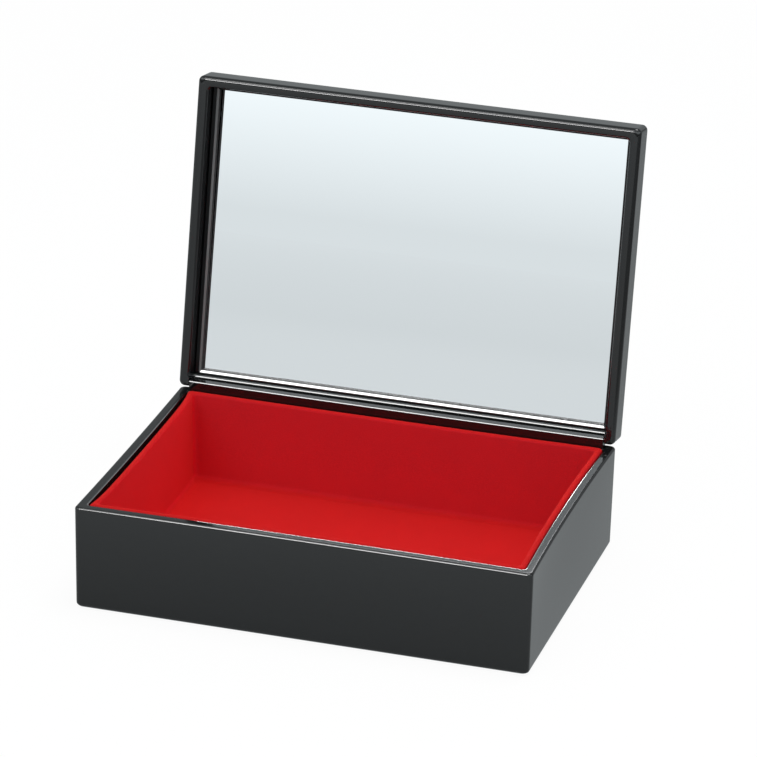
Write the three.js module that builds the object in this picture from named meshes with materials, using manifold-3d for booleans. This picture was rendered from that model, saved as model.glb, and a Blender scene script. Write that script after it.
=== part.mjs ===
// Lacquer jewelry box: a moulded box and its hinged lid, standing open on the stops of its
// hinge, with a mirror set in the lid and a red flocked tray in the box.
// Millimetres. X is the long way, +Y goes to the back, +Z is up. The origin is the middle of
// the flat base that the box stands on.
// Each piece is its own closed mesh. The mouldings are profiles carried round the rectangular
// plan. The lid and all that it carries are built closed and then turned open on the hinge.
import * as THREE from 'three';
import { mergeVertices } from 'three/addons/utils/BufferGeometryUtils.js';
import Module from 'manifold-3d';

const wasm = await Module();
wasm.setup();

// Clearance between pieces that touch
const GAP = 0.3;

// Box
const BOX_W = 180;
const BOX_D = 126;
const BOX_H = 42;
const WALL = 4.0;
const FLOOR_T = 4.0;
const CORNER_R = 2.0;
const BASE_R = 2.0;
const BASE_LEAN = 0.4;
const RIM_OUT_R = 0.9;
const RIM_IN_R = 0.7;
const INNER_R = 1.6;

// Between their corners the open walls of the moulding draw in a little towards the rim
const SHORT_DRAW = 1.2;
const LONG_DRAW = 0.6;

// Lid
const LID_T = 13;
const LID_WALL = 4.2;
const LID_CORNER_R = 2.2;
const LID_FACE_R = 2.2;
const LID_RIM_R = 1.7;
const LID_PANEL = 1.9;
const OPEN_ANGLE = 100;

// Mirror glass, the foam tape behind it and the bevelled frame that lies on its edge
const GLASS_T = 1.8;
const GLASS_BEVEL = 0.25;
const TAPE_T = 0.6;
const TAPE_W = 12;
const TAPE_L = 84;
const TAPE_INSET = 29.5;
const FRAME_W = 1.9;
const FRAME_H = 1.0;
const FRAME_BEVEL = 0.8;

// Flocked tray. It is a little shorter than the room inside the box and lies against the
// right-hand wall
const TRAY_T = 1.0;
const TRAY_PLAY = 1.3;
const TRAY_RISE = 0.3;
const TRAY_FLOOR_R = 4.5;
const TRAY_TAPER = 1.6;
const BEAD_R = 0.95;
const LIP_H = 2.5;

// Hinge: a rail on the box's rear wall stands between the side walls of the lid, and a pin at
// each end joins the two. The rail's back is round about the hinge axis
const RAIL_R = 1.5;
const RAIL_EDGE_R = 0.45;
const RAIL_ROOT = 2;
const PIN_R = 0.6;
const PIN_CLEAR = 0.2;
const PIN_SEAT = 8;
const AXIS_RISE = 2.6;
const LID_INSIDE = BOX_W / 2 - LID_WALL;
const RAIL_END = LID_INSIDE - GAP;
const AXIS_Y = BOX_D / 2 - RAIL_R;
const AXIS_Z = BOX_H + AXIS_RISE;

const LACQUER = { color: 0x0d0e0f, roughness: 0.16, metalness: 0 };
const FLOCK = { color: 0xc0151a, roughness: 0.95, metalness: 0 };
const SILVER = { color: 0xe9edef, roughness: 0.03, metalness: 1 };
const BLACK_TRIM = { color: 0x141516, roughness: 0.22, metalness: 0 };
const FOAM = { color: 0xdcdcd6, roughness: 0.9, metalness: 0 };
const STEEL = { color: 0xc4c6c8, roughness: 0.3, metalness: 1 };

const ARC_STEPS = 2;
const CORNER_STEPS = 5;
const SIDE_STEPS = 8;
const WALL_STEPS = 4;
const RAIL_ARC_STEPS = 4;
const RAIL_STEPS = 12;

// Geometry to and from closed solids
function toSolid(geometry) {
  const bare = geometry.clone();
  bare.deleteAttribute('normal');
  bare.deleteAttribute('uv');
  const welded = mergeVertices(bare, 1e-5);
  const mesh = new wasm.Mesh({
    numProp: 3,
    vertProperties: new Float32Array(welded.attributes.position.array),
    triVerts: new Uint32Array(welded.index.array),
  });
  return new wasm.Manifold(mesh);
}

function toGeometry(solid) {
  const mesh = solid.getMesh();
  const geometry = new THREE.BufferGeometry();
  const points = new Float32Array(mesh.vertProperties);
  geometry.setAttribute('position', new THREE.BufferAttribute(points, 3));
  geometry.setIndex(new THREE.BufferAttribute(new Uint32Array(mesh.triVerts), 1));
  return geometry;
}

function combine(geometry, added, cut) {
  let solid = toSolid(geometry);
  for (const piece of added) solid = solid.add(toSolid(piece));
  for (const piece of cut) solid = solid.subtract(toSolid(piece));
  return toGeometry(solid);
}

// One level of the plan: a rectangle with rounded corners whose sides draw in between them
function planRing(width, depth, radius, z, drawX, drawY) {
  const hx = width / 2;
  const hy = depth / 2;
  const place = (x, y) => new THREE.Vector3(
    x - (x / hx) * drawX * Math.max(0, 1 - (y / hy) ** 2),
    y - (y / hy) * drawY * Math.max(0, 1 - (x / hx) ** 2),
    z,
  );
  const centres = [[1, 1], [-1, 1], [-1, -1], [1, -1]].map(([sx, sy]) => [sx * (hx - radius), sy * (hy - radius)]);
  const ring = [];
  centres.forEach(([cx, cy], quarter) => {
    for (let i = 0; i <= CORNER_STEPS; i += 1) {
      const angle = (quarter + i / CORNER_STEPS) * Math.PI / 2;
      ring.push(place(cx + radius * Math.cos(angle), cy + radius * Math.sin(angle)));
    }
    const [nx, ny] = centres[(quarter + 1) % 4];
    const angle = (quarter + 1) * Math.PI / 2;
    const ox = radius * Math.cos(angle);
    const oy = radius * Math.sin(angle);
    for (let i = 1; i < SIDE_STEPS; i += 1) {
      const t = i / SIDE_STEPS;
      ring.push(place(cx + (nx - cx) * t + ox, cy + (ny - cy) * t + oy));
    }
  });
  return ring;
}

// The faces between each ring and the next one
function bands(rings, closed) {
  const count = rings[0].length;
  const faces = [];
  const last = closed ? rings.length : rings.length - 1;
  for (let k = 0; k < last; k += 1) {
    const row = k * count;
    const next = ((k + 1) % rings.length) * count;
    for (let i = 0; i < count; i += 1) {
      const j = (i + 1) % count;
      faces.push(row + i, row + j, next + j);
      faces.push(row + i, next + j, next + i);
    }
  }
  return faces;
}

// A skin through the rings, closed by a face below the first and one above the last
function loft(rings) {
  const count = rings[0].length;
  const faces = bands(rings, false);
  const points = rings.flat();
  const low = points.push(new THREE.Vector3(0, 0, rings[0][0].z)) - 1;
  const high = points.push(new THREE.Vector3(0, 0, rings[rings.length - 1][0].z)) - 1;
  const top = (rings.length - 1) * count;
  for (let i = 0; i < count; i += 1) {
    const j = (i + 1) % count;
    faces.push(low, j, i);
    faces.push(high, top + i, top + j);
  }
  const geometry = new THREE.BufferGeometry().setFromPoints(points);
  geometry.setIndex(faces);
  return geometry;
}

// A frame through the rings, the last one joined to the first
function frameLoop(rings) {
  const geometry = new THREE.BufferGeometry().setFromPoints(rings.flat());
  geometry.setIndex(bands(rings, true));
  return geometry;
}

// The rings of a profile whose points are (inset from the outer wall, height)
function carry(path, radiusAt, drawAt) {
  const points = path.getPoints(ARC_STEPS);
  const apart = points.filter((point, i) => i === 0 || point.distanceTo(points[i - 1]) > 1e-4);
  return apart.map(({ x: inset, y: z }) => {
    const draw = drawAt(z);
    const width = BOX_W - 2 * inset;
    const depth = BOX_D - 2 * inset;
    return planRing(width, depth, radiusAt(inset), z, SHORT_DRAW * draw, LONG_DRAW * draw);
  });
}

function lineInSteps(path, fromX, fromZ, toX, toZ, steps) {
  for (let i = 1; i <= steps; i += 1) {
    path.lineTo(fromX + (toX - fromX) * i / steps, fromZ + (toZ - fromZ) * i / steps);
  }
}

// The draw grows with the square of the height and is full at the rim
const boxDraw = (z) => (Math.min(z, BOX_H) / BOX_H) ** 2;
const noDraw = () => 0;

// A bar along X with a round or square section, for pins, bores, tapes and clearances
function roundBar(radius, fromX, toX, y, z, sides) {
  const bar = new THREE.CylinderGeometry(radius, radius, toX - fromX, sides);
  bar.rotateZ(Math.PI / 2);
  bar.translate((fromX + toX) / 2, y, z);
  return bar;
}

function squareBar(fromX, toX, fromY, toY, fromZ, toZ) {
  const bar = new THREE.BoxGeometry(toX - fromX, toY - fromY, toZ - fromZ);
  bar.translate((fromX + toX) / 2, (fromY + toY) / 2, (fromZ + toZ) / 2);
  return bar;
}

// The rail, from inside the rear wall up to its round back and top, with the wall's own draw
function railGeometry() {
  const front = RAIL_R - WALL;
  const foot = -AXIS_RISE - RAIL_ROOT;
  const section = new THREE.Path();
  section.moveTo(front, foot);
  section.lineTo(front, RAIL_R - RAIL_EDGE_R);
  section.absarc(front + RAIL_EDGE_R, RAIL_R - RAIL_EDGE_R, RAIL_EDGE_R, Math.PI, 0.5 * Math.PI, true);
  section.absarc(0, 0, RAIL_R, 0.5 * Math.PI, 0, true);
  section.lineTo(RAIL_R, foot);
  const outline = section.getPoints(RAIL_ARC_STEPS);
  const count = outline.length;
  const points = [];
  const faces = [];
  for (let k = 0; k <= RAIL_STEPS; k += 1) {
    const x = RAIL_END * (2 * k / RAIL_STEPS - 1);
    const draw = LONG_DRAW * (1 - (x / (BOX_W / 2)) ** 2);
    for (const { x: y, y: z } of outline) points.push(new THREE.Vector3(x, AXIS_Y + y - draw, AXIS_Z + z));
  }
  for (let k = 0; k < RAIL_STEPS; k += 1) {
    for (let i = 0; i < count; i += 1) {
      const j = (i + 1) % count;
      const row = k * count;
      faces.push(row + j, row + i, row + count + i);
      faces.push(row + j, row + count + i, row + count + j);
    }
  }
  const last = RAIL_STEPS * count;
  for (const [a, b, c] of THREE.ShapeUtils.triangulateShape(outline, [])) {
    faces.push(a, c, b);
    faces.push(last + a, last + b, last + c);
  }
  const rail = new THREE.BufferGeometry().setFromPoints(points);
  rail.setIndex(faces);
  return rail;
}

// A bore for a hinge pin, on one side, between two distances from the middle
function pinBore(side, inner, outer) {
  const ends = [side * inner, side * outer].sort((a, b) => a - b);
  return roundBar(PIN_R + PIN_CLEAR, ends[0], ends[1], AXIS_Y, AXIS_Z, 16);
}

function boxBodyGeometry() {
  const path = new THREE.Path();
  path.absarc(BASE_LEAN + BASE_R, BASE_R, BASE_R, 1.5 * Math.PI, Math.PI, true);
  lineInSteps(path, BASE_LEAN, BASE_R, 0, BOX_H - RIM_OUT_R, WALL_STEPS);
  path.absarc(RIM_OUT_R, BOX_H - RIM_OUT_R, RIM_OUT_R, Math.PI, 0.5 * Math.PI, true);
  path.absarc(WALL - RIM_IN_R, BOX_H - RIM_IN_R, RIM_IN_R, 0.5 * Math.PI, 0, true);
  lineInSteps(path, WALL, BOX_H - RIM_IN_R, WALL, FLOOR_T + INNER_R, WALL_STEPS);
  path.absarc(WALL + INNER_R, FLOOR_T + INNER_R, INNER_R, Math.PI, 1.5 * Math.PI, false);
  const radius = (inset) => (inset < WALL ? CORNER_R : INNER_R);
  const shell = loft(carry(path, radius, boxDraw));
  const bores = [-1, 1].map((side) => pinBore(side, RAIL_END - PIN_SEAT - GAP, RAIL_END + 1));
  return combine(shell, [railGeometry()], bores);
}

function trayLinerGeometry() {
  const outer = WALL + GAP;
  const top = BOX_H + TRAY_RISE;
  const wall = outer + 2 * BEAD_R;
  const foot = wall + TRAY_TAPER;
  const floor = FLOOR_T + GAP + TRAY_T;
  const turn = Math.atan2(TRAY_TAPER, top - BEAD_R - floor);
  const path = new THREE.Path();
  const cx = foot + TRAY_FLOOR_R;
  const cz = floor + TRAY_FLOOR_R;
  path.absarc(cx, cz, TRAY_FLOOR_R + TRAY_T, 1.5 * Math.PI, Math.PI + turn, true);
  lineInSteps(path, foot - TRAY_T, cz, wall - TRAY_T, top - LIP_H, WALL_STEPS);
  path.lineTo(outer, top - LIP_H);
  path.absarc(outer + BEAD_R, top - BEAD_R, BEAD_R, Math.PI, 0, true);
  lineInSteps(path, wall, top - BEAD_R, foot, cz, WALL_STEPS);
  path.absarc(cx, cz, TRAY_FLOOR_R, Math.PI + turn, 1.5 * Math.PI, false);
  const radius = (inset) => INNER_R - GAP + 0.4 * (inset - outer);
  const tray = loft(carry(path, radius, boxDraw));
  const room = BOX_W - 2 * outer;
  tray.scale((room - TRAY_PLAY) / room, 1, 1);
  tray.translate(TRAY_PLAY / 2, 0, 0);
  return tray;
}

// From the mouth-up building place to the lid closed on the box
function closeLid(geometry) {
  geometry.rotateX(Math.PI);
  geometry.translate(0, 0, BOX_H + GAP + LID_T);
  return geometry;
}

// From the closed lid to the lid leaning back on its stops
function openLid(geometry) {
  geometry.translate(0, -AXIS_Y, -AXIS_Z);
  geometry.rotateX(-OPEN_ANGLE * Math.PI / 180);
  geometry.translate(0, AXIS_Y, AXIS_Z);
  return geometry;
}

// Room for the rail: the lid's rear wall is cut away between its side walls, up to an edge that
// meets the back of the rail when the lid leans back at OPEN_ANGLE
function railRelief() {
  const lean = (OPEN_ANGLE - 90) * Math.PI / 180;
  const edge = AXIS_Z + RAIL_R / Math.cos(lean) + RAIL_R * Math.tan(lean) + GAP;
  const front = BOX_D / 2 - LID_WALL - 1;
  return squareBar(-LID_INSIDE, LID_INSIDE, front, BOX_D / 2 + 1, BOX_H, edge);
}

function lidShellGeometry() {
  const path = new THREE.Path();
  path.absarc(LID_FACE_R, LID_FACE_R, LID_FACE_R, 1.5 * Math.PI, Math.PI, true);
  path.absarc(LID_RIM_R, LID_T - LID_RIM_R, LID_RIM_R, Math.PI, 0.5 * Math.PI, true);
  path.absarc(LID_WALL - RIM_IN_R, LID_T - RIM_IN_R, RIM_IN_R, 0.5 * Math.PI, 0, true);
  path.lineTo(LID_WALL, LID_PANEL);
  const radius = (inset) => (inset < LID_WALL ? LID_CORNER_R : INNER_R);
  const shell = closeLid(loft(carry(path, radius, noDraw)));
  const bores = [-1, 1].map((side) => pinBore(side, LID_INSIDE - 1, BOX_W / 2 + 1));
  return openLid(combine(shell, [], [railRelief(), ...bores]));
}

function hingePinGeometry(side) {
  const ends = [side * (RAIL_END - PIN_SEAT), side * (BOX_W / 2 - GAP)].sort((a, b) => a - b);
  return roundBar(PIN_R, ends[0], ends[1], AXIS_Y, AXIS_Z, 16);
}

const GLASS_BACK = LID_PANEL + GAP + TAPE_T + GAP;
const GLASS_FRONT = GLASS_BACK + GLASS_T;
const GLASS_INSET = LID_WALL + GAP;
const TAPE_X = BOX_W / 2 - GLASS_INSET - TAPE_INSET;

function mirrorGlassGeometry() {
  const path = new THREE.Path();
  path.moveTo(GLASS_INSET + GLASS_BEVEL, GLASS_BACK);
  path.lineTo(GLASS_INSET, GLASS_BACK + GLASS_BEVEL);
  path.lineTo(GLASS_INSET, GLASS_FRONT - GLASS_BEVEL);
  path.lineTo(GLASS_INSET + GLASS_BEVEL, GLASS_FRONT);
  return openLid(closeLid(loft(carry(path, () => INNER_R - GAP, noDraw))));
}

function mirrorFrameGeometry() {
  const base = GLASS_FRONT + GAP;
  const inner = GLASS_INSET + FRAME_W;
  const path = new THREE.Path();
  path.moveTo(GLASS_INSET, base);
  path.lineTo(GLASS_INSET, base + FRAME_H);
  path.lineTo(inner - FRAME_BEVEL, base + FRAME_H);
  path.lineTo(inner, base + FRAME_H - FRAME_BEVEL);
  path.lineTo(inner, base);
  const radius = (inset) => INNER_R - GAP - 0.6 * (inset - GLASS_INSET);
  return openLid(closeLid(frameLoop(carry(path, radius, noDraw))));
}

function mirrorTapeGeometry(x) {
  const from = LID_PANEL + GAP;
  return openLid(closeLid(squareBar(x - TAPE_W / 2, x + TAPE_W / 2, -TAPE_L / 2, TAPE_L / 2, from, from + TAPE_T)));
}

function addPiece(group, name, geometry, look) {
  const flat = geometry.index ? geometry.toNonIndexed() : geometry;
  flat.deleteAttribute('uv');
  flat.computeVertexNormals();
  const mesh = new THREE.Mesh(flat, new THREE.MeshStandardMaterial(look));
  mesh.name = name;
  group.add(mesh);
}

const jewelryBox = new THREE.Group();
jewelryBox.name = 'lacquer_jewelry_box';
addPiece(jewelryBox, 'box_body', boxBodyGeometry(), LACQUER);
addPiece(jewelryBox, 'tray_liner', trayLinerGeometry(), FLOCK);
addPiece(jewelryBox, 'lid_shell', lidShellGeometry(), LACQUER);
addPiece(jewelryBox, 'mirror_glass', mirrorGlassGeometry(), SILVER);
addPiece(jewelryBox, 'mirror_frame', mirrorFrameGeometry(), BLACK_TRIM);
addPiece(jewelryBox, 'mirror_tape_left', mirrorTapeGeometry(-TAPE_X), FOAM);
addPiece(jewelryBox, 'mirror_tape_middle', mirrorTapeGeometry(0), FOAM);
addPiece(jewelryBox, 'mirror_tape_right', mirrorTapeGeometry(TAPE_X), FOAM);
addPiece(jewelryBox, 'hinge_pin_left', hingePinGeometry(-1), STEEL);
addPiece(jewelryBox, 'hinge_pin_right', hingePinGeometry(1), STEEL);

export default jewelryBox;
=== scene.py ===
# Looks of the lacquer jewelry box: its mouldings, materials, studio and camera, made around the
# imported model. Profiles and sizes are in millimetres, meshes and the studio in metres.
import math

import bpy
from mathutils import Matrix, Vector


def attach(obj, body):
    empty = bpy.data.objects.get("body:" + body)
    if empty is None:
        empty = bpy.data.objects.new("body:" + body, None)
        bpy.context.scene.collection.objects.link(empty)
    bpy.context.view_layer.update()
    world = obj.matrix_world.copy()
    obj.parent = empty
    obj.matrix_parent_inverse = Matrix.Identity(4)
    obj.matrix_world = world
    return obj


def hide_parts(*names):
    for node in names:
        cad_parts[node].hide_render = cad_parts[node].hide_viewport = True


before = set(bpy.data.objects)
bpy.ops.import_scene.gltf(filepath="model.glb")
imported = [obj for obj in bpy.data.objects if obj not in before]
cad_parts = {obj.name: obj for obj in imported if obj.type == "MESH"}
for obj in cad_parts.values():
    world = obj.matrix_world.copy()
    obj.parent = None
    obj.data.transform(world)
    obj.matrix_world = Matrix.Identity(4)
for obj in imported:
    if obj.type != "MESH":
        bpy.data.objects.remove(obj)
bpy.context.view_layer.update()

MM = 0.001
# Clearance between neighbouring pieces
GAP = 0.3
# How far a cutting tool runs past the face that it cuts
PAST = 1.0

# Sizes of the box
BOX_W, BOX_D, BOX_H = 180.0, 126.0, 42.0
WALL = 4.0
FLOOR_T = 4.0
CORNER_R = 2.0
INNER_R = 1.6
BASE_R = 2.0
BASE_LEAN = 0.4
RIM_OUT_R = 0.9
RIM_IN_R = 1.0
# The narrow flat on the rim's outer edge, and how many degrees above level it faces
RIM_FLAT = 0.12
RIM_TURN = 26.8
# How far the short and the long sides draw in between their corners, and the left side's share
SHORT_DRAW = 1.2
LONG_DRAW = 0.6
LEFT_SHARE = 0.4

# Sizes of the lid
LID_T = 13.0
LID_WALL = 4.2
LID_CORNER_R = 2.2
LID_FACE_R = 2.2
LID_RIM_R = 1.7
LID_PANEL = 1.9
OPEN_ANGLE = 100.0
LID_INSIDE = BOX_W / 2 - LID_WALL
# Chamfer on the foot wall's inner edge, beside the rail: its width, and its slope in degrees
FOOT_EDGE_W = 0.32
FOOT_EDGE_TURN = 16.8

# Sizes of the mirror, its tapes and its frame
GLASS_T = 1.8
GLASS_INSET = LID_WALL + GAP
SILVER_RISE = 0.2
MIRROR_LEAN = 0.6
TAPE_T, TAPE_W, TAPE_L = 0.6, 12.0, 84.0
TAPE_INSET = 29.5
TAPE_X = BOX_W / 2 - GLASS_INSET - TAPE_INSET
TAPE_UNDER, TAPE_OVER = 0.06, 0.12
GLASS_BACK = LID_PANEL + GAP + TAPE_T + GAP
GLASS_FRONT = GLASS_BACK + GLASS_T
FRAME_W = 1.9
FRAME_H = 1.0
FRAME_BEVEL = 0.8
FRAME_SLOPE = 0.58
FRAME_EDGE = 0.2
# How much sharper its corners get for each millimetre inwards
FRAME_CORNER_LOSS = 0.6
# How far the mirror and its frame reach towards the hinge, and the wall's room past them
FOOT_DROP = 0.25
FOOT_ROOM = 0.2
# How far the frame's inner edges are moved at the foot, the head and the left
SILL_DROP = 0.45
HEAD_SHIFT = 0.45
SIDE_SHIFT = 0.5
# Inner edges lie further than this inside the mirror's edge, and foot and head lie within a band
# along the lid's front and rear edges
INNER_FROM = 0.5
END_BAND = 11.0

# Sizes of the tray
TRAY_T = 1.0
TRAY_FLOOR_R = 2.6
TRAY_TAPER = 1.0
BEAD_R = 1.2
LIP_H = 2.5
# How much rounder its corners get for each millimetre inwards
TRAY_CORNER_GAIN = 0.4
# How far its edge stands above the rim, and how much lower its front is than its back
TRAY_RISE = 0.45
TRAY_DIP = 0.5
# How far its left side leaves the wall between the corners, and how straight it stays there
TRAY_PLAY = 1.6
PLAY_POWER = 8

# Sizes of the hinge
RAIL_R = 1.5
RAIL_ROOT = 2.0
RAIL_END = LID_INSIDE - GAP
RAIL_END_R = 0.25
AXIS_RISE = 2.6
AXIS_Y = BOX_D / 2 - RAIL_R
AXIS_Z = BOX_H + AXIS_RISE
PIN_R = 0.6
PIN_CLEAR = 0.2
PIN_SEAT = 8.0
PIN_PROUD = 0.2
PIN_DOME = 0.4
# The rail's front edge: steps back from its front face, and down from its top
RAIL_EDGE = [(0.0, 0.52), (0.02, 0.46), (0.2, 0.08), (0.28, 0.01), (0.34, 0.0)]

CORNER_STEPS = 10
SIDE_STEPS = 24


# Mesh helpers
def arc(cx, cz, r, start, end, steps=8):
    """Points of an arc in the profile plane, angles in degrees."""
    out = []
    for i in range(steps + 1):
        a = math.radians(start + (end - start) * i / steps)
        out.append((cx + r * math.cos(a), cz + r * math.sin(a)))
    return out


def line(a, b, steps):
    """Points between a and b, without the two ends."""
    return [(a[0] + (b[0] - a[0]) * i / steps, a[1] + (b[1] - a[1]) * i / steps) for i in range(1, steps)]


def plan_ring(width, depth, radius, z, draw_x, draw_y):
    """A rectangle with round corners whose sides draw in between them."""
    hx, hy = width / 2, depth / 2
    centres = [(sx * (hx - radius), sy * (hy - radius)) for sx, sy in ((1, 1), (-1, 1), (-1, -1), (1, -1))]
    ring = []

    def place(x, y):
        share = 1.0 if x > 0 else LEFT_SHARE
        px = x - (x / hx) * draw_x * share * max(0.0, 1 - (y / hy) ** 2)
        py = y - (y / hy) * draw_y * max(0.0, 1 - (x / hx) ** 2)
        ring.append((px * MM, py * MM, z * MM))

    for q, (cx, cy) in enumerate(centres):
        for i in range(CORNER_STEPS + 1):
            a = (q + i / CORNER_STEPS) * math.pi / 2
            place(cx + radius * math.cos(a), cy + radius * math.sin(a))
        nx, ny = centres[(q + 1) % 4]
        a = (q + 1) * math.pi / 2
        for i in range(1, SIDE_STEPS):
            t = i / SIDE_STEPS
            place(cx + (nx - cx) * t + radius * math.cos(a), cy + (ny - cy) * t + radius * math.sin(a))
    return ring


def carry(profile, radius_at, draw_at):
    """The rings of a profile of (inset, height) points carried round the rectangular plan."""
    points = [profile[0]]
    for p in profile[1:]:
        if math.dist(p, points[-1]) > 1e-4:
            points.append(p)
    rings = []
    for inset, z in points:
        width, depth = BOX_W - 2 * inset, BOX_D - 2 * inset
        d = draw_at(z)
        rings.append(plan_ring(width, depth, radius_at(inset), z, SHORT_DRAW * d, LONG_DRAW * d))
    return rings


def box_draw(z):
    """The share of the full draw that the box's sides have at a height."""
    return (min(z, BOX_H) / BOX_H) ** 2


def no_draw(z):
    """The lid's sides are straight at any height."""
    return 0


def skin(name, rings, closed=False, sharp=50):
    """A mesh over rings, joined to itself when closed and capped at both ends otherwise."""
    count = len(rings[0])
    verts = [v for ring in rings for v in ring]
    faces = []
    for k in range(len(rings) if closed else len(rings) - 1):
        row, nxt = k * count, ((k + 1) % len(rings)) * count
        for i in range(count):
            j = (i + 1) % count
            faces.append((row + i, row + j, nxt + j, nxt + i))
    if not closed:
        faces.append(tuple(reversed(range(count))))
        faces.append(tuple(range((len(rings) - 1) * count, len(rings) * count)))
    return new_object(name, verts, faces, sharp)


def new_object(name, verts, faces, sharp):
    mesh = bpy.data.meshes.new(name)
    mesh.from_pydata(verts, [], faces)
    mesh.validate()
    obj = bpy.data.objects.new(name, mesh)
    bpy.context.scene.collection.objects.link(obj)
    smooth(obj, sharp)
    return obj


def smooth(obj, sharp):
    """Rounded edges are shaded smooth and the flats beside them stay flat."""
    for poly in obj.data.polygons:
        poly.use_smooth = True
    obj.data.set_sharp_from_angle(angle=math.radians(sharp))
    weigh = obj.modifiers.new("flats", "WEIGHTED_NORMAL")
    weigh.weight = 80
    weigh.keep_sharp = True
    apply(obj)


def apply(obj):
    """The object's modifiers become part of its mesh."""
    graph = bpy.context.evaluated_depsgraph_get()
    done = bpy.data.meshes.new_from_object(obj.evaluated_get(graph))
    obj.modifiers.clear()
    obj.data = done


def block(name, low, high):
    """A box between two corners."""
    x0, y0, z0 = (v * MM for v in low)
    x1, y1, z1 = (v * MM for v in high)
    verts = [(x, y, z) for z in (z0, z1) for x, y in ((x0, y0), (x1, y0), (x1, y1), (x0, y1))]
    faces = [(3, 2, 1, 0), (4, 5, 6, 7), (0, 1, 5, 4), (1, 2, 6, 5), (2, 3, 7, 6), (3, 0, 4, 7)]
    return new_object(name, verts, faces, sharp=30)


def bar_x(name, outline, x0, x1, stations=1, bow=0.0):
    """An outline of Y and Z points, clockwise, carried along X and drawn in by bow at its middle."""
    verts, faces = [], []
    n = len(outline)
    for k in range(stations + 1):
        x = x0 + (x1 - x0) * k / stations
        back = bow * (1 - (x / (BOX_W / 2)) ** 2)
        verts += [(x * MM, (a - back) * MM, b * MM) for a, b in outline]
    for k in range(stations):
        for i in range(n):
            j = (i + 1) % n
            faces.append((k * n + j, k * n + i, (k + 1) * n + i, (k + 1) * n + j))
    faces.append(tuple(range(n)))
    faces.append(tuple(reversed(range(stations * n, (stations + 1) * n))))
    return new_object(name, verts, faces, sharp=35)


def tube_x(name, radius, x0, x1, dome=0.0, sides=32):
    """A bar along the hinge's axis, with its ends rounded by dome."""
    stations = [(x0, radius)]
    if dome:
        turns = [math.radians(a) for a in (0, 22, 45, 67, 90)]
        stations = [(x0 + dome * (1 - math.cos(a)), radius - dome * (1 - math.sin(a))) for a in turns]
    stations += [(x1 - (x - x0), r) for x, r in reversed(stations)]
    verts, faces = [], []
    for x, r in stations:
        for i in range(sides):
            a = 2 * math.pi * i / sides
            verts.append((x * MM, (AXIS_Y + r * math.cos(a)) * MM, (AXIS_Z + r * math.sin(a)) * MM))
    for k in range(len(stations) - 1):
        for i in range(sides):
            j = (i + 1) % sides
            faces.append((k * sides + i, k * sides + j, (k + 1) * sides + j, (k + 1) * sides + i))
    faces.append(tuple(reversed(range(sides))))
    faces.append(tuple(range((len(stations) - 1) * sides, len(stations) * sides)))
    return new_object(name, verts, faces, sharp=40)


def pin_bores(radius, inner, outer):
    """The tools for the bores of the two pins, from inner to outer on each side of the middle."""
    spans = [sorted((side * inner, side * outer)) for side in (-1, 1)]
    return [tube_x("bore", radius, x0, x1) for x0, x1 in spans]


def cut(obj, tools, sharp):
    """Cuts the tools out of the object and removes them."""
    for tool in tools:
        mod = obj.modifiers.new("cut", "BOOLEAN")
        mod.operation = "DIFFERENCE"
        mod.solver = "EXACT"
        mod.object = tool
    apply(obj)
    for tool in tools:
        bpy.data.objects.remove(tool)
    smooth(obj, sharp)


def transform(obj, matrix):
    obj.data.transform(matrix)
    obj.data.update()


def close_matrix():
    """From a piece of the lid built mouth up to the closed lid."""
    return Matrix.Translation((0, 0, (BOX_H + GAP + LID_T) * MM)) @ Matrix.Rotation(math.pi, 4, "X")


def open_matrix():
    """From the closed lid to the lid leaning back on its stop."""
    pivot = Matrix.Translation((0, AXIS_Y * MM, AXIS_Z * MM))
    return pivot @ Matrix.Rotation(math.radians(-OPEN_ANGLE), 4, "X") @ pivot.inverted()


# Pieces of the box
def make_body():
    """The box's moulding, from the base over the rim to the floor inside."""
    turn = math.radians(RIM_TURN)
    flat_foot = BOX_H - RIM_OUT_R - RIM_FLAT * math.cos(turn)
    flat_head = RIM_OUT_R + RIM_FLAT * math.sin(turn)
    profile = arc(BASE_LEAN + BASE_R, BASE_R, BASE_R, 270, 180)
    profile += line(profile[-1], (0, flat_foot), 12)
    profile += arc(RIM_OUT_R, flat_foot, RIM_OUT_R, 180, 180 - RIM_TURN)
    profile += arc(flat_head, BOX_H - RIM_OUT_R, RIM_OUT_R, 180 - RIM_TURN, 90, 18)
    profile += arc(WALL - RIM_IN_R, BOX_H - RIM_IN_R, RIM_IN_R, 90, 0)
    profile += line(profile[-1], (WALL, FLOOR_T + INNER_R), 8)
    profile += arc(WALL + INNER_R, FLOOR_T + INNER_R, INNER_R, 180, 270)
    body = skin("body_moulding", carry(profile, lambda i: CORNER_R if i < WALL else INNER_R, box_draw))
    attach(body, "box")
    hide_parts("box_body")
    return body


def make_rail():
    """The moulded rail on the rear wall, with an eye for a pin at each end."""
    front, root = RAIL_R - WALL, -AXIS_RISE - RAIL_ROOT
    outline = [(front, root)] + [(front + back, RAIL_R - down) for back, down in RAIL_EDGE]
    outline += arc(0, 0, RAIL_R, 90, 0, 14) + [(RAIL_R, root)]
    outline = [(AXIS_Y + a, AXIS_Z + b) for a, b in outline]
    rail = bar_x("hinge_rail", outline, -RAIL_END, RAIL_END, 48, LONG_DRAW)
    mod = rail.modifiers.new("edge", "BEVEL")
    mod.width = RAIL_END_R * MM
    mod.segments = 3
    mod.limit_method = "ANGLE"
    mod.angle_limit = math.radians(60)
    apply(rail)
    cut(rail, pin_bores(PIN_R + PIN_CLEAR, RAIL_END - PIN_SEAT - GAP, RAIL_END + PAST), sharp=35)
    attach(rail, "box")
    return rail


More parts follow.
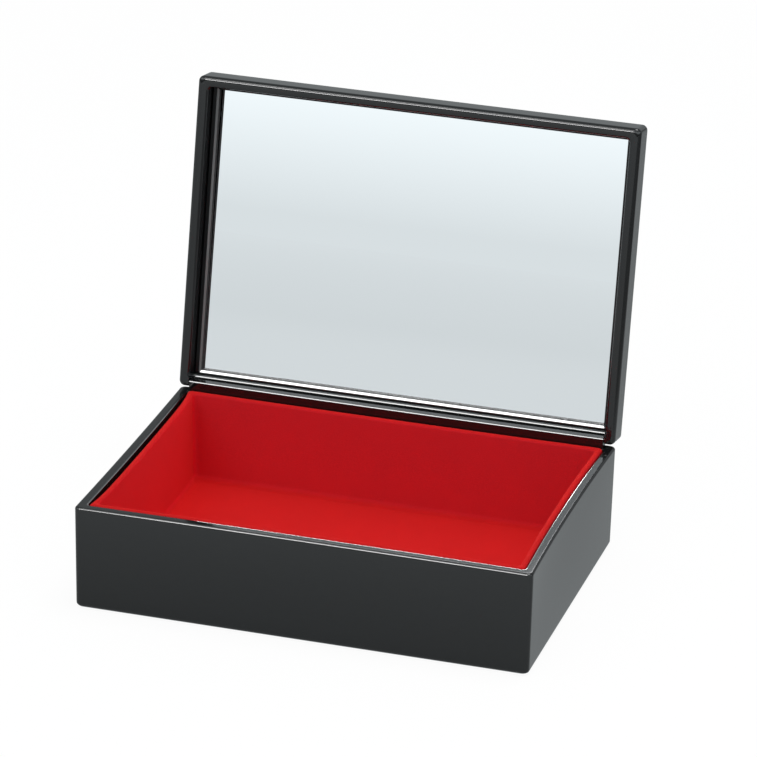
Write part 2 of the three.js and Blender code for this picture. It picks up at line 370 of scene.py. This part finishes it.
def make_tray():
    """The flocked tray, from its underside over the lip and the bead to its floor."""
    outer = WALL + GAP
    top = BOX_H + TRAY_RISE
    wall = outer + 2 * BEAD_R
    foot = wall + TRAY_TAPER
    floor = FLOOR_T + GAP + TRAY_T
    turn = math.degrees(math.atan2(TRAY_TAPER, top - BEAD_R - floor))
    cx, cz = foot + TRAY_FLOOR_R, floor + TRAY_FLOOR_R
    under_lip = (wall - TRAY_T, top - LIP_H)
    profile = arc(cx, cz, TRAY_FLOOR_R + TRAY_T, 270, 180 + turn)
    profile += line((foot - TRAY_T, cz), under_lip, 8) + [under_lip, (outer, top - LIP_H)]
    profile += arc(outer + BEAD_R, top - BEAD_R, BEAD_R, 180, 0, 12)
    profile += line((wall, top - BEAD_R), (foot, cz), 16)
    profile += arc(cx, cz, TRAY_FLOOR_R, 180 + turn, 270, 10)
    rings = carry(profile, lambda i: INNER_R - GAP + TRAY_CORNER_GAIN * (i - outer), box_draw)
    tray = skin("tray_flocked", rings)
    settle_tray(tray, BOX_D / 2 - outer)
    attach(tray, "box")
    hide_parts("tray_liner")
    return tray


def settle_tray(tray, reach):
    """The left side leaves the wall between its corners, and the front sits lower than the back."""
    for v in tray.data.vertices:
        along = min(1.0, abs(v.co.y) / (reach * MM))
        v.co.x += max(0.0, -v.co.x) / (BOX_W / 2) * TRAY_PLAY * (1 - along ** PLAY_POWER)
        v.co.z -= TRAY_DIP * (BOX_D / 2 * MM - v.co.y) / BOX_D


# Pieces of the lid
def make_lid():
    """The lid's moulding, which is built mouth up, closed, cut and opened."""
    profile = arc(LID_FACE_R, LID_FACE_R, LID_FACE_R, 270, 180, 10)
    profile += line(profile[-1], (0, LID_T - LID_RIM_R), 4)
    profile += arc(LID_RIM_R, LID_T - LID_RIM_R, LID_RIM_R, 180, 90, 12)
    profile += arc(LID_WALL - RIM_IN_R, LID_T - RIM_IN_R, RIM_IN_R, 90, 0)
    profile += [(LID_WALL, LID_PANEL)]
    lid = skin("lid_moulding", carry(profile, lambda i: LID_CORNER_R if i < LID_WALL else INNER_R, no_draw))
    transform(lid, close_matrix())
    cut(lid, lid_tools(), sharp=14)
    transform(lid, open_matrix())
    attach(lid, "lid")
    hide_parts("lid_shell")
    return lid


def lid_tools():
    """What is cut from the closed lid: room for the rail, the inside of the foot wall, its edge
    and the bores."""
    lean = math.radians(OPEN_ANGLE - 90)
    ceiling = AXIS_Z + RAIL_R / math.cos(lean) + RAIL_R * math.tan(lean) + GAP
    panel = BOX_H + GAP + LID_T - LID_PANEL
    low = (-LID_INSIDE, BOX_D / 2 - LID_WALL - 2 * PAST, BOX_H - PAST)
    face = BOX_D / 2 - LID_WALL + FOOT_DROP + FOOT_ROOM
    # The edge tool's top slopes down to the back and meets the ceiling where the chamfer ends. Its
    # other sides only have to be clear of the wall
    slope = math.tan(math.radians(FOOT_EDGE_TURN))
    near, far, under = face - 0.4, face + 0.8, ceiling - 0.5
    crossing = face + FOOT_EDGE_W
    edge = [(near, under), (near, ceiling + (crossing - near) * slope)]
    edge += [(far, ceiling - (far - crossing) * slope), (far, under)]
    return [
        block("relief", low, (LID_INSIDE, BOX_D / 2 + PAST, ceiling)),
        block("thinning", low, (LID_INSIDE, face, panel)),
        bar_x("edge", edge, -LID_INSIDE, LID_INSIDE),
    ] + pin_bores(PIN_R + PIN_CLEAR / 2, LID_INSIDE - PAST, BOX_W / 2 + PAST)


def make_glass():
    """The mirror, which leans back a little further than the lid."""
    face = GLASS_BACK + SILVER_RISE
    profile = [(GLASS_INSET, GLASS_BACK), (GLASS_INSET, face)]
    glass = skin("mirror_plate", carry(profile, lambda i: INNER_R - GAP, no_draw), sharp=10)
    stretch(glass)
    hold = Matrix.Translation((0, (BOX_D / 2 - GLASS_INSET) * MM, face * MM))
    lean = hold @ Matrix.Rotation(math.radians(MIRROR_LEAN), 4, "X") @ hold.inverted()
    flip = Matrix.Rotation(math.pi, 4, "Z")
    transform(glass, open_matrix() @ close_matrix() @ flip @ lean)
    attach(glass, "lid")
    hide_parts("mirror_glass")
    return glass


def stretch(obj, sill=0.0, head=0.0, side=0.0):
    """Moves the edges of a piece built mouth up: the foot by FOOT_DROP, and the inner edges at the
    foot, the head and the left by the given lengths besides."""
    ends = BOX_D / 2 - END_BAND
    for v in obj.data.vertices:
        x, y = v.co.x / MM, v.co.y / MM
        inset = min(BOX_W / 2 - abs(x), BOX_D / 2 - abs(y))
        inner = inset > GLASS_INSET + INNER_FROM
        if y < -ends:
            v.co.y -= (FOOT_DROP + sill if inner else FOOT_DROP) * MM
        elif inner and y > ends:
            v.co.y += head * MM
        if inner and x < 0:
            v.co.x += side * MM


def make_tapes():
    """Foam strips pressed thinner towards the mirror's far edge."""
    low, high = LID_PANEL + TAPE_UNDER, GLASS_BACK - TAPE_OVER
    drop = math.tan(math.radians(MIRROR_LEAN))
    hinge_edge = BOX_D / 2 - GLASS_INSET
    tapes = []
    for x, side in ((-TAPE_X, "left"), (0, "middle"), (TAPE_X, "right")):
        corners = (x - TAPE_W / 2, -TAPE_L / 2, low), (x + TAPE_W / 2, TAPE_L / 2, high)
        pad = block("pressed_tape_" + side, *corners)
        for v in pad.data.vertices:
            if v.co.z > (low + high) / 2 * MM:
                v.co.z -= (hinge_edge * MM + v.co.y) * drop
        transform(pad, open_matrix() @ close_matrix())
        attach(pad, "lid")
        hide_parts("mirror_tape_" + side)
        tapes.append(pad)
    return tapes


def make_frame():
    """The bevelled frame, with its inner edges moved to where the photo has them."""
    base = GLASS_BACK + SILVER_RISE
    top = GLASS_FRONT + GAP + FRAME_H
    inner = GLASS_INSET + FRAME_W
    profile = [(GLASS_INSET, base), (GLASS_INSET, top - FRAME_EDGE), (GLASS_INSET + FRAME_EDGE, top)]
    profile += [(inner - FRAME_BEVEL, top), (inner, top - FRAME_BEVEL * FRAME_SLOPE), (inner, base)]
    rings = carry(profile, lambda i: INNER_R - GAP - FRAME_CORNER_LOSS * (i - GLASS_INSET), no_draw)
    trim = skin("mirror_trim", rings, closed=True, sharp=20)
    stretch(trim, SILL_DROP, HEAD_SHIFT, SIDE_SHIFT)
    transform(trim, open_matrix() @ close_matrix())
    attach(trim, "lid")
    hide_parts("mirror_frame")
    return trim


def make_pins():
    """The steel pins, which reach from the rail into the lid's side walls."""
    pins = []
    for side, node in ((-1, "hinge_pin_left"), (1, "hinge_pin_right")):
        x0, x1 = sorted((side * (RAIL_END - PIN_SEAT), side * (BOX_W / 2 - GAP)))
        pin = tube_x(node + "_wire", PIN_R, x0 - PIN_PROUD, x1 + PIN_PROUD, PIN_DOME)
        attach(pin, "lid")
        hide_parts(node)
        pins.append(pin)
    return pins


# Materials
def material(name):
    mat = bpy.data.materials.new(name)
    mat.use_nodes = True
    tree = mat.node_tree
    tree.nodes.clear()
    out = tree.nodes.new("ShaderNodeOutputMaterial")
    shader = tree.nodes.new("ShaderNodeBsdfPrincipled")
    tree.links.new(shader.outputs["BSDF"], out.inputs["Surface"])
    coords = tree.nodes.new("ShaderNodeTexCoord")
    return mat, tree, shader, coords


def fill(node, values):
    for key, value in values.items():
        node.inputs[key].default_value = value


def noise(tree, coords, scale, detail, rough=0.5):
    node = tree.nodes.new("ShaderNodeTexNoise")
    fill(node, {"Scale": scale, "Detail": detail, "Roughness": rough})
    tree.links.new(coords.outputs["Object"], node.inputs["Vector"])
    return node.outputs["Fac"]


def bump(tree, shader, height, strength, distance):
    node = tree.nodes.new("ShaderNodeBump")
    fill(node, {"Strength": strength, "Distance": distance})
    tree.links.new(height, node.inputs["Height"])
    tree.links.new(node.outputs["Normal"], shader.inputs["Normal"])


def ramp(tree, value, low, high, a, b):
    """Maps low to a and high to b."""
    node = tree.nodes.new("ShaderNodeMapRange")
    fill(node, {"From Min": low, "From Max": high, "To Min": a, "To Max": b})
    tree.links.new(value, node.inputs["Value"])
    return node.outputs["Result"]


def spread(tree, grain, a, b):
    """The middle range of a noise, mapped to a and b."""
    return ramp(tree, grain, 0.3, 0.7, a, b)


def levels(tree, value, table):
    """The levels of a table, with straight runs between its rows."""
    low, high = table[0][0], table[-1][0]
    node = tree.nodes.new("ShaderNodeValToRGB")
    tree.links.new(ramp(tree, value, low, high, 0.0, 1.0), node.inputs["Fac"])
    stops = node.color_ramp.elements
    while len(stops) < len(table):
        stops.new(0.5)
    for stop, (at, level) in zip(stops, table):
        stop.position = (at - low) / (high - low)
        stop.color = (level, level, level, 1)
    return node.outputs["Color"]


def times(tree, a, b):
    node = tree.nodes.new("ShaderNodeMath")
    node.operation = "MULTIPLY"
    tree.links.new(a, node.inputs[0])
    tree.links.new(b, node.inputs[1])
    return node.outputs["Value"]


def mix(tree, factor, a, b):
    """A blend of two colours, each a plain one or another node's."""
    node = tree.nodes.new("ShaderNodeMix")
    node.data_type = "RGBA"
    tree.links.new(factor, node.inputs["Factor"])
    for key, value in (("A", a), ("B", b)):
        if isinstance(value, tuple):
            node.inputs[key].default_value = value
        else:
            tree.links.new(value, node.inputs[key])
    return node.outputs["Result"]


def axes(tree, vector):
    node = tree.nodes.new("ShaderNodeSeparateXYZ")
    tree.links.new(vector, node.inputs["Vector"])
    return node.outputs


def lacquer(name, rough):
    """Black lacquer with a slight haze and a few specks of dust."""
    mat, tree, shader, coords = material(name)
    black, pale = (0.008, 0.0085, 0.009, 1), (0.12, 0.12, 0.12, 1)
    dust = tree.nodes.new("ShaderNodeTexVoronoi")
    fill(dust, {"Scale": 38})
    tree.links.new(coords.outputs["Object"], dust.inputs["Vector"])
    rare = ramp(tree, noise(tree, coords, 31, 1), 0.5, 0.56, 0.0, 1.0)
    speck = times(tree, ramp(tree, dust.outputs["Distance"], 0.012, 0.007, 0.0, 1.0), rare)
    tree.links.new(mix(tree, speck, black, pale), shader.inputs["Base Color"])
    fill(shader, {"IOR": 1.5})
    haze = noise(tree, coords, 60, 3)
    tree.links.new(spread(tree, haze, rough * 0.8, rough * 1.25), shader.inputs["Roughness"])
    peel = noise(tree, coords, 900, 2)
    bump(tree, shader, peel, 0.02, 0.0002)
    return mat


def polished_edge():
    """The frame's slope at the foot, which shines more than the lacquer."""
    mat, tree, shader, coords = material("trim_polished")
    fill(shader, {"Base Color": (0.01, 0.0105, 0.011, 1), "IOR": 2.6})
    streak = noise(tree, coords, 220, 3)
    tree.links.new(spread(tree, streak, 0.03, 0.09), shader.inputs["Roughness"])
    return mat


def dull_side():
    """The frame's sides and its other slopes, left as moulded."""
    mat, tree, shader, coords = material("trim_dull")
    fill(shader, {"Base Color": (0.012, 0.0125, 0.013, 1), "Specular IOR Level": 0.2})
    grain = noise(tree, coords, 1200, 3)
    tree.links.new(spread(tree, grain, 0.55, 0.75), shader.inputs["Roughness"])
    return mat


def painted_reflection_grey():
    """A grey painted on black faces beside the hinge and at the frame's left: a painted reflection."""
    mat, tree, shader, coords = material("lacquer_painted_reflection")
    grain = noise(tree, coords, 900, 4)
    # Painted reflection: the grey that the black lacquer shows there, varied by a fine noise
    painted_reflection = mix(tree, grain, (0.125, 0.135, 0.137, 1), (0.16, 0.172, 0.174, 1))
    tree.links.new(painted_reflection, shader.inputs["Base Color"])
    fill(shader, {"Roughness": 0.45})
    return mat


def flock():
    """Red pile with painted light and shade: its red is painted lighter on the left wall, more orange
    on the floor and more crimson on the other walls.
    """
    mat, tree, shader, coords = material("flock_red")
    pile = noise(tree, coords, 2600, 5, 0.65)
    patch = noise(tree, coords, 45, 3)
    blend = tree.nodes.new("ShaderNodeMath")
    blend.operation = "MULTIPLY_ADD"
    blend.inputs[1].default_value = 0.35
    tree.links.new(patch, blend.inputs[0])
    tree.links.new(spread(tree, pile, 0.0, 0.65), blend.inputs[2])
    depth = blend.outputs["Value"]
    # Painted light and shade: three copies of one red, picked by which way a face looks
    wall_red_painted_shade = mix(tree, depth, (0.61, 0.012, 0.022, 1), (0.77, 0.0155, 0.026, 1))
    left = mix(tree, depth, (0.68, 0.0075, 0.018, 1), (0.86, 0.0095, 0.021, 1))
    level = mix(tree, depth, (0.56, 0.0068, 0.0085, 1), (0.72, 0.0088, 0.010, 1))
    facing = axes(tree, coords.outputs["Normal"])
    walls = mix(tree, ramp(tree, facing["X"], 0.5, 0.9, 0.0, 1.0), wall_red_painted_shade, left)
    red = mix(tree, ramp(tree, facing["Z"], 0.3, 0.8, 0.0, 1.0), walls, level)
    tree.links.new(red, shader.inputs["Base Color"])
    fill(shader, {"Roughness": 0.95, "Specular IOR Level": 0.15})
    fill(shader, {"Sheen Weight": 0.14, "Sheen Roughness": 0.5, "Sheen Tint": (1.0, 0.09, 0.02, 1)})
    bump(tree, shader, pile, 0.5, 0.0003)
    return mat


def metal(name, colour, waver, smoothest, roughest):
    """A bare metal whose roughness wavers, as silvering or drawn steel does."""
    mat, tree, shader, coords = material(name)
    fill(shader, {"Base Color": colour, "Metallic": 1.0})
    grain = noise(tree, coords, *waver)
    tree.links.new(spread(tree, grain, smoothest, roughest), shader.inputs["Roughness"])
    return mat


def foam():
    mat, tree, shader, coords = material("tape_foam")
    cells = noise(tree, coords, 1800, 3)
    pale = mix(tree, cells, (0.6, 0.6, 0.56, 1), (0.78, 0.78, 0.74, 1))
    tree.links.new(pale, shader.inputs["Base Color"])
    fill(shader, {"Roughness": 0.9})
    return mat


def paint(obj, mat):
    obj.data.materials.clear()
    obj.data.materials.append(mat)


# How far above the box's rim the lid's painted reflection faces and the frame's polished ones reach
PAINTED_REFLECTION_REACH = 8.0
POLISHED_REACH = 18.0


def near_hinge(poly, reach):
    """Whether a face of the open lid is within a height above the box's rim."""
    return poly.center.z < (BOX_H + reach) * MM


def polish_frame(trim, polished, dull, painted_reflection):
    """The frame's slope is polished at the foot, painted grey at the left as a painted reflection,
    and dull elsewhere, as its sides are. The faces are told apart by how far they look towards the
    lid's mouth."""
    for finish in (polished, dull, painted_reflection):
        trim.data.materials.append(finish)
    mouth = ((open_matrix() @ close_matrix()).to_3x3() @ Vector((0, 0, 1))).normalized()
    for poly in trim.data.polygons:
        rise = poly.normal.dot(mouth)
        slope = 0.5 < rise < 0.95
        side = abs(rise) < 0.2
        # The left slope gets the grey of a painted reflection
        if slope and poly.normal.x > 0.3:
            poly.material_index = 3
        elif slope and poly.normal.z > rise * 0.3 and near_hinge(poly, POLISHED_REACH):
            poly.material_index = 1
        elif slope or side:
            poly.material_index = 2


def paint_foot_reflection(lid, painted_reflection):
    """The inner face of the lid's wall beside the hinge gets the grey of a painted reflection."""
    lid.data.materials.append(painted_reflection)
    for poly in lid.data.polygons:
        level = poly.normal.z > 0.95
        inside = abs(poly.center.x) < LID_INSIDE * MM
        if level and inside and near_hinge(poly, PAINTED_REFLECTION_REACH):
            poly.material_index = 1


# Studio
# How bright shiny surfaces see the floor, by the distance from the box in metres
FLOOR_LEVELS = [
    (0.0, 0.59), (0.09, 0.59), (0.12, 0.61), (0.2, 0.70), (2.5, 0.71), (3.8, 0.735), (6.0, 0.775),
]
# What that is multiplied by from the front to the back, by Y in metres
FLOOR_SHARES = [
    (-0.3, 1.02), (-0.2, 1.0), (-0.16, 1.22), (-0.08, 0.92), (-0.06, 0.84),
    (0.05, 0.80), (0.14, 0.78), (0.2, 0.58), (0.5, 0.54),
]
# And what besides, by X, towards the darker side of the room on the right
SIDE_SHARES = [(0.3, 1.0), (0.5, 0.4)]
# How bright they see the room in front of the box, by the height of the ray's direction
ROOM_LEVELS = [
    (-0.011, 0.775), (0.012, 1.0), (0.03, 1.0), (0.055, 0.15), (0.25, 0.15), (0.32, 0.9),
    (0.42, 1.0), (0.45, 3.0), (0.56, 3.0), (0.6, 1.0), (1.0, 1.0),
]
# The same for the room behind it, and how gradually the one turns into the other
BEHIND_LEVEL = 0.4
ROOM_TURN = 0.3
# The tint in which they see the floor and the room
STUDIO_TINT = (0.93, 1.0, 1.02, 1)
# The light that the room gives to matt surfaces
ROOM_COLOUR = (0.86, 0.88, 0.9, 1)
ROOM_STRENGTH = 0.6
FLOOR_SIZE = 12.0
FLOOR_DROP = 0.0003
FLOOR_COLOUR = (0.86, 0.86, 0.86, 1)
# How bright the camera sees the floor, and the share of that in what it sees. The rest is the
# floor's own light, so that the object's shadow shows on it
FLOOR_STRENGTH = 1.02
FLOOR_WHITE_SHARE = 0.92
# Name, width and height, place, strength, and whether it lights matt surfaces. All aim at the box.
LAMPS = [
    ("softbox_top", (0.6, 0.6), (0.25, 0.1, 1.55), 9, True),
    ("softbox_front", (0.9, 0.6), (-0.4, -1.75, 0.95), 3, True),
    ("glint_high", (0.75, 0.3), (-0.42, -0.75, 1.34), 9, False),
    ("glint_key", (0.66, 0.25), (-0.51, -1.56, 0.97), 27, False),
]
CAMERA_PLACE = (0.48989, -1.6468, 0.80724)
CAMERA_TURN = (1.171777, -0.022739, 0.29281)
CAMERA_LENS = 232.2


def stage_panel(name, width, depth, place):
    """A flat rectangle of the studio."""
    x, y = width / 2, depth / 2
    mesh = bpy.data.meshes.new(name)
    mesh.from_pydata([(-x, -y, 0), (x, -y, 0), (x, y, 0), (-x, y, 0)], [], [(0, 1, 2, 3)])
    obj = bpy.data.objects.new(name, mesh)
    bpy.context.scene.collection.objects.link(obj)
    obj.location = place
    return obj


def make_lamp(name, size, place, strength, lights_matt):
    """A glowing panel that faces the box and that the camera doesn't see."""
    lamp = stage_panel(name, size[0], size[1], place)
    lamp.rotation_euler = (-Vector(place)).to_track_quat("Z", "Y").to_euler()
    mat = bpy.data.materials.new(name)
    mat.use_nodes = True
    tree = mat.node_tree
    tree.nodes.clear()
    out = tree.nodes.new("ShaderNodeOutputMaterial")
    glow = tree.nodes.new("ShaderNodeEmission")
    glow.inputs["Strength"].default_value = strength
    tree.links.new(glow.outputs["Emission"], out.inputs["Surface"])
    lamp.data.materials.append(mat)
    lamp.visible_camera = False
    lamp.visible_shadow = False
    lamp.visible_diffuse = lights_matt


def seen_white(tree, surface, glossy, strength, share):
    """The camera sees plain white in the surface, and glossy and transmission rays see it as bright
    as glossy says."""
    path = tree.nodes.new("ShaderNodeLightPath")
    either = tree.nodes.new("ShaderNodeMath")
    either.operation = "MAXIMUM"
    tree.links.new(path.outputs["Is Glossy Ray"], either.inputs[0])
    tree.links.new(path.outputs["Is Transmission Ray"], either.inputs[1])
    mirrored = tree.nodes.new("ShaderNodeEmission")
    mirrored.inputs["Color"].default_value = STUDIO_TINT
    tree.links.new(glossy, mirrored.inputs["Strength"])
    white = tree.nodes.new("ShaderNodeEmission")
    white.inputs["Strength"].default_value = strength
    shown = surface
    for ray, glow in ((either.outputs["Value"], mirrored), (path.outputs["Is Camera Ray"], white)):
        part = tree.nodes.new("ShaderNodeMath")
        part.operation = "MULTIPLY"
        part.inputs[1].default_value = share
        tree.links.new(ray, part.inputs[0])
        blend = tree.nodes.new("ShaderNodeMixShader")
        tree.links.new(part.outputs["Value"], blend.inputs["Fac"])
        tree.links.new(shown, blend.inputs[1])
        tree.links.new(glow.outputs["Emission"], blend.inputs[2])
        shown = blend.outputs["Shader"]
    return shown


def make_floor():
    floor = stage_panel("floor", FLOOR_SIZE, FLOOR_SIZE, (0, 0, -FLOOR_DROP))
    mat, tree, shader, coords = material("floor_white")
    fill(shader, {"Base Color": FLOOR_COLOUR, "Roughness": 0.9, "Specular IOR Level": 0.1})
    out = next(n for n in tree.nodes if n.type == "OUTPUT_MATERIAL")
    away = tree.nodes.new("ShaderNodeVectorMath")
    away.operation = "LENGTH"
    tree.links.new(coords.outputs["Object"], away.inputs[0])
    place = axes(tree, coords.outputs["Object"])
    shares = times(tree, levels(tree, place["Y"], FLOOR_SHARES), levels(tree, place["X"], SIDE_SHARES))
    far = times(tree, levels(tree, away.outputs["Value"], FLOOR_LEVELS), shares)
    shown = seen_white(tree, shader.outputs["BSDF"], far, FLOOR_STRENGTH, FLOOR_WHITE_SHARE)
    tree.links.new(shown, out.inputs["Surface"])
    floor.data.materials.append(mat)


def make_room():
    world = bpy.data.worlds.new("studio")
    bpy.context.scene.world = world
    world.use_nodes = True
    tree = world.node_tree
    tree.nodes.clear()
    out = tree.nodes.new("ShaderNodeOutputWorld")
    lit = tree.nodes.new("ShaderNodeBackground")
    fill(lit, {"Color": ROOM_COLOUR, "Strength": ROOM_STRENGTH})
    coords = tree.nodes.new("ShaderNodeTexCoord")
    way = axes(tree, coords.outputs["Generated"])
    turned = tree.nodes.new("ShaderNodeMix")
    turn = ramp(tree, way["Y"], -ROOM_TURN, ROOM_TURN, 0.0, 1.0)
    tree.links.new(turn, turned.inputs["Factor"])
    tree.links.new(levels(tree, way["Z"], ROOM_LEVELS), turned.inputs["A"])
    turned.inputs["B"].default_value = BEHIND_LEVEL
    shown = seen_white(tree, lit.outputs["Background"], turned.outputs["Result"], strength=1.0, share=1.0)
    tree.links.new(shown, out.inputs["Surface"])


def make_camera():
    scene = bpy.context.scene
    camera = bpy.data.cameras.new("camera")
    camera.sensor_width = 36.0
    camera.lens = CAMERA_LENS
    camera.clip_start = 0.05
    camera.clip_end = 50.0
    eye = bpy.data.objects.new("camera", camera)
    scene.collection.objects.link(eye)
    eye.location = CAMERA_PLACE
    eye.rotation_euler = CAMERA_TURN
    scene.camera = eye
    scene.view_settings.view_transform = "Standard"


# Everything is made here
body = make_body()
rail = make_rail()
tray = make_tray()
lid = make_lid()
glass = make_glass()
trim = make_frame()
pins = make_pins()

black = lacquer("lacquer_black", 0.06)
for piece in (body, rail, lid):
    paint(piece, black)
# The grey of a painted reflection, for the lid's wall beside the hinge and the frame's left slope
painted_reflection_material = painted_reflection_grey()
paint_foot_reflection(lid, painted_reflection_material)
paint(trim, lacquer("trim_black", 0.1))
polish_frame(trim, polished_edge(), dull_side(), painted_reflection_material)
paint(tray, flock())
paint(glass, metal("mirror_silver", (0.945, 0.95, 0.96, 1), (14, 2), 0.004, 0.01))
steel = metal("pin_steel", (0.8, 0.81, 0.82, 1), (1500, 3), 0.14, 0.26)
for piece in pins:
    paint(piece, steel)
soft = foam()
for piece in make_tapes():
    paint(piece, soft)

make_floor()
make_room()
for lamp in LAMPS:
    make_lamp(*lamp)
make_camera()
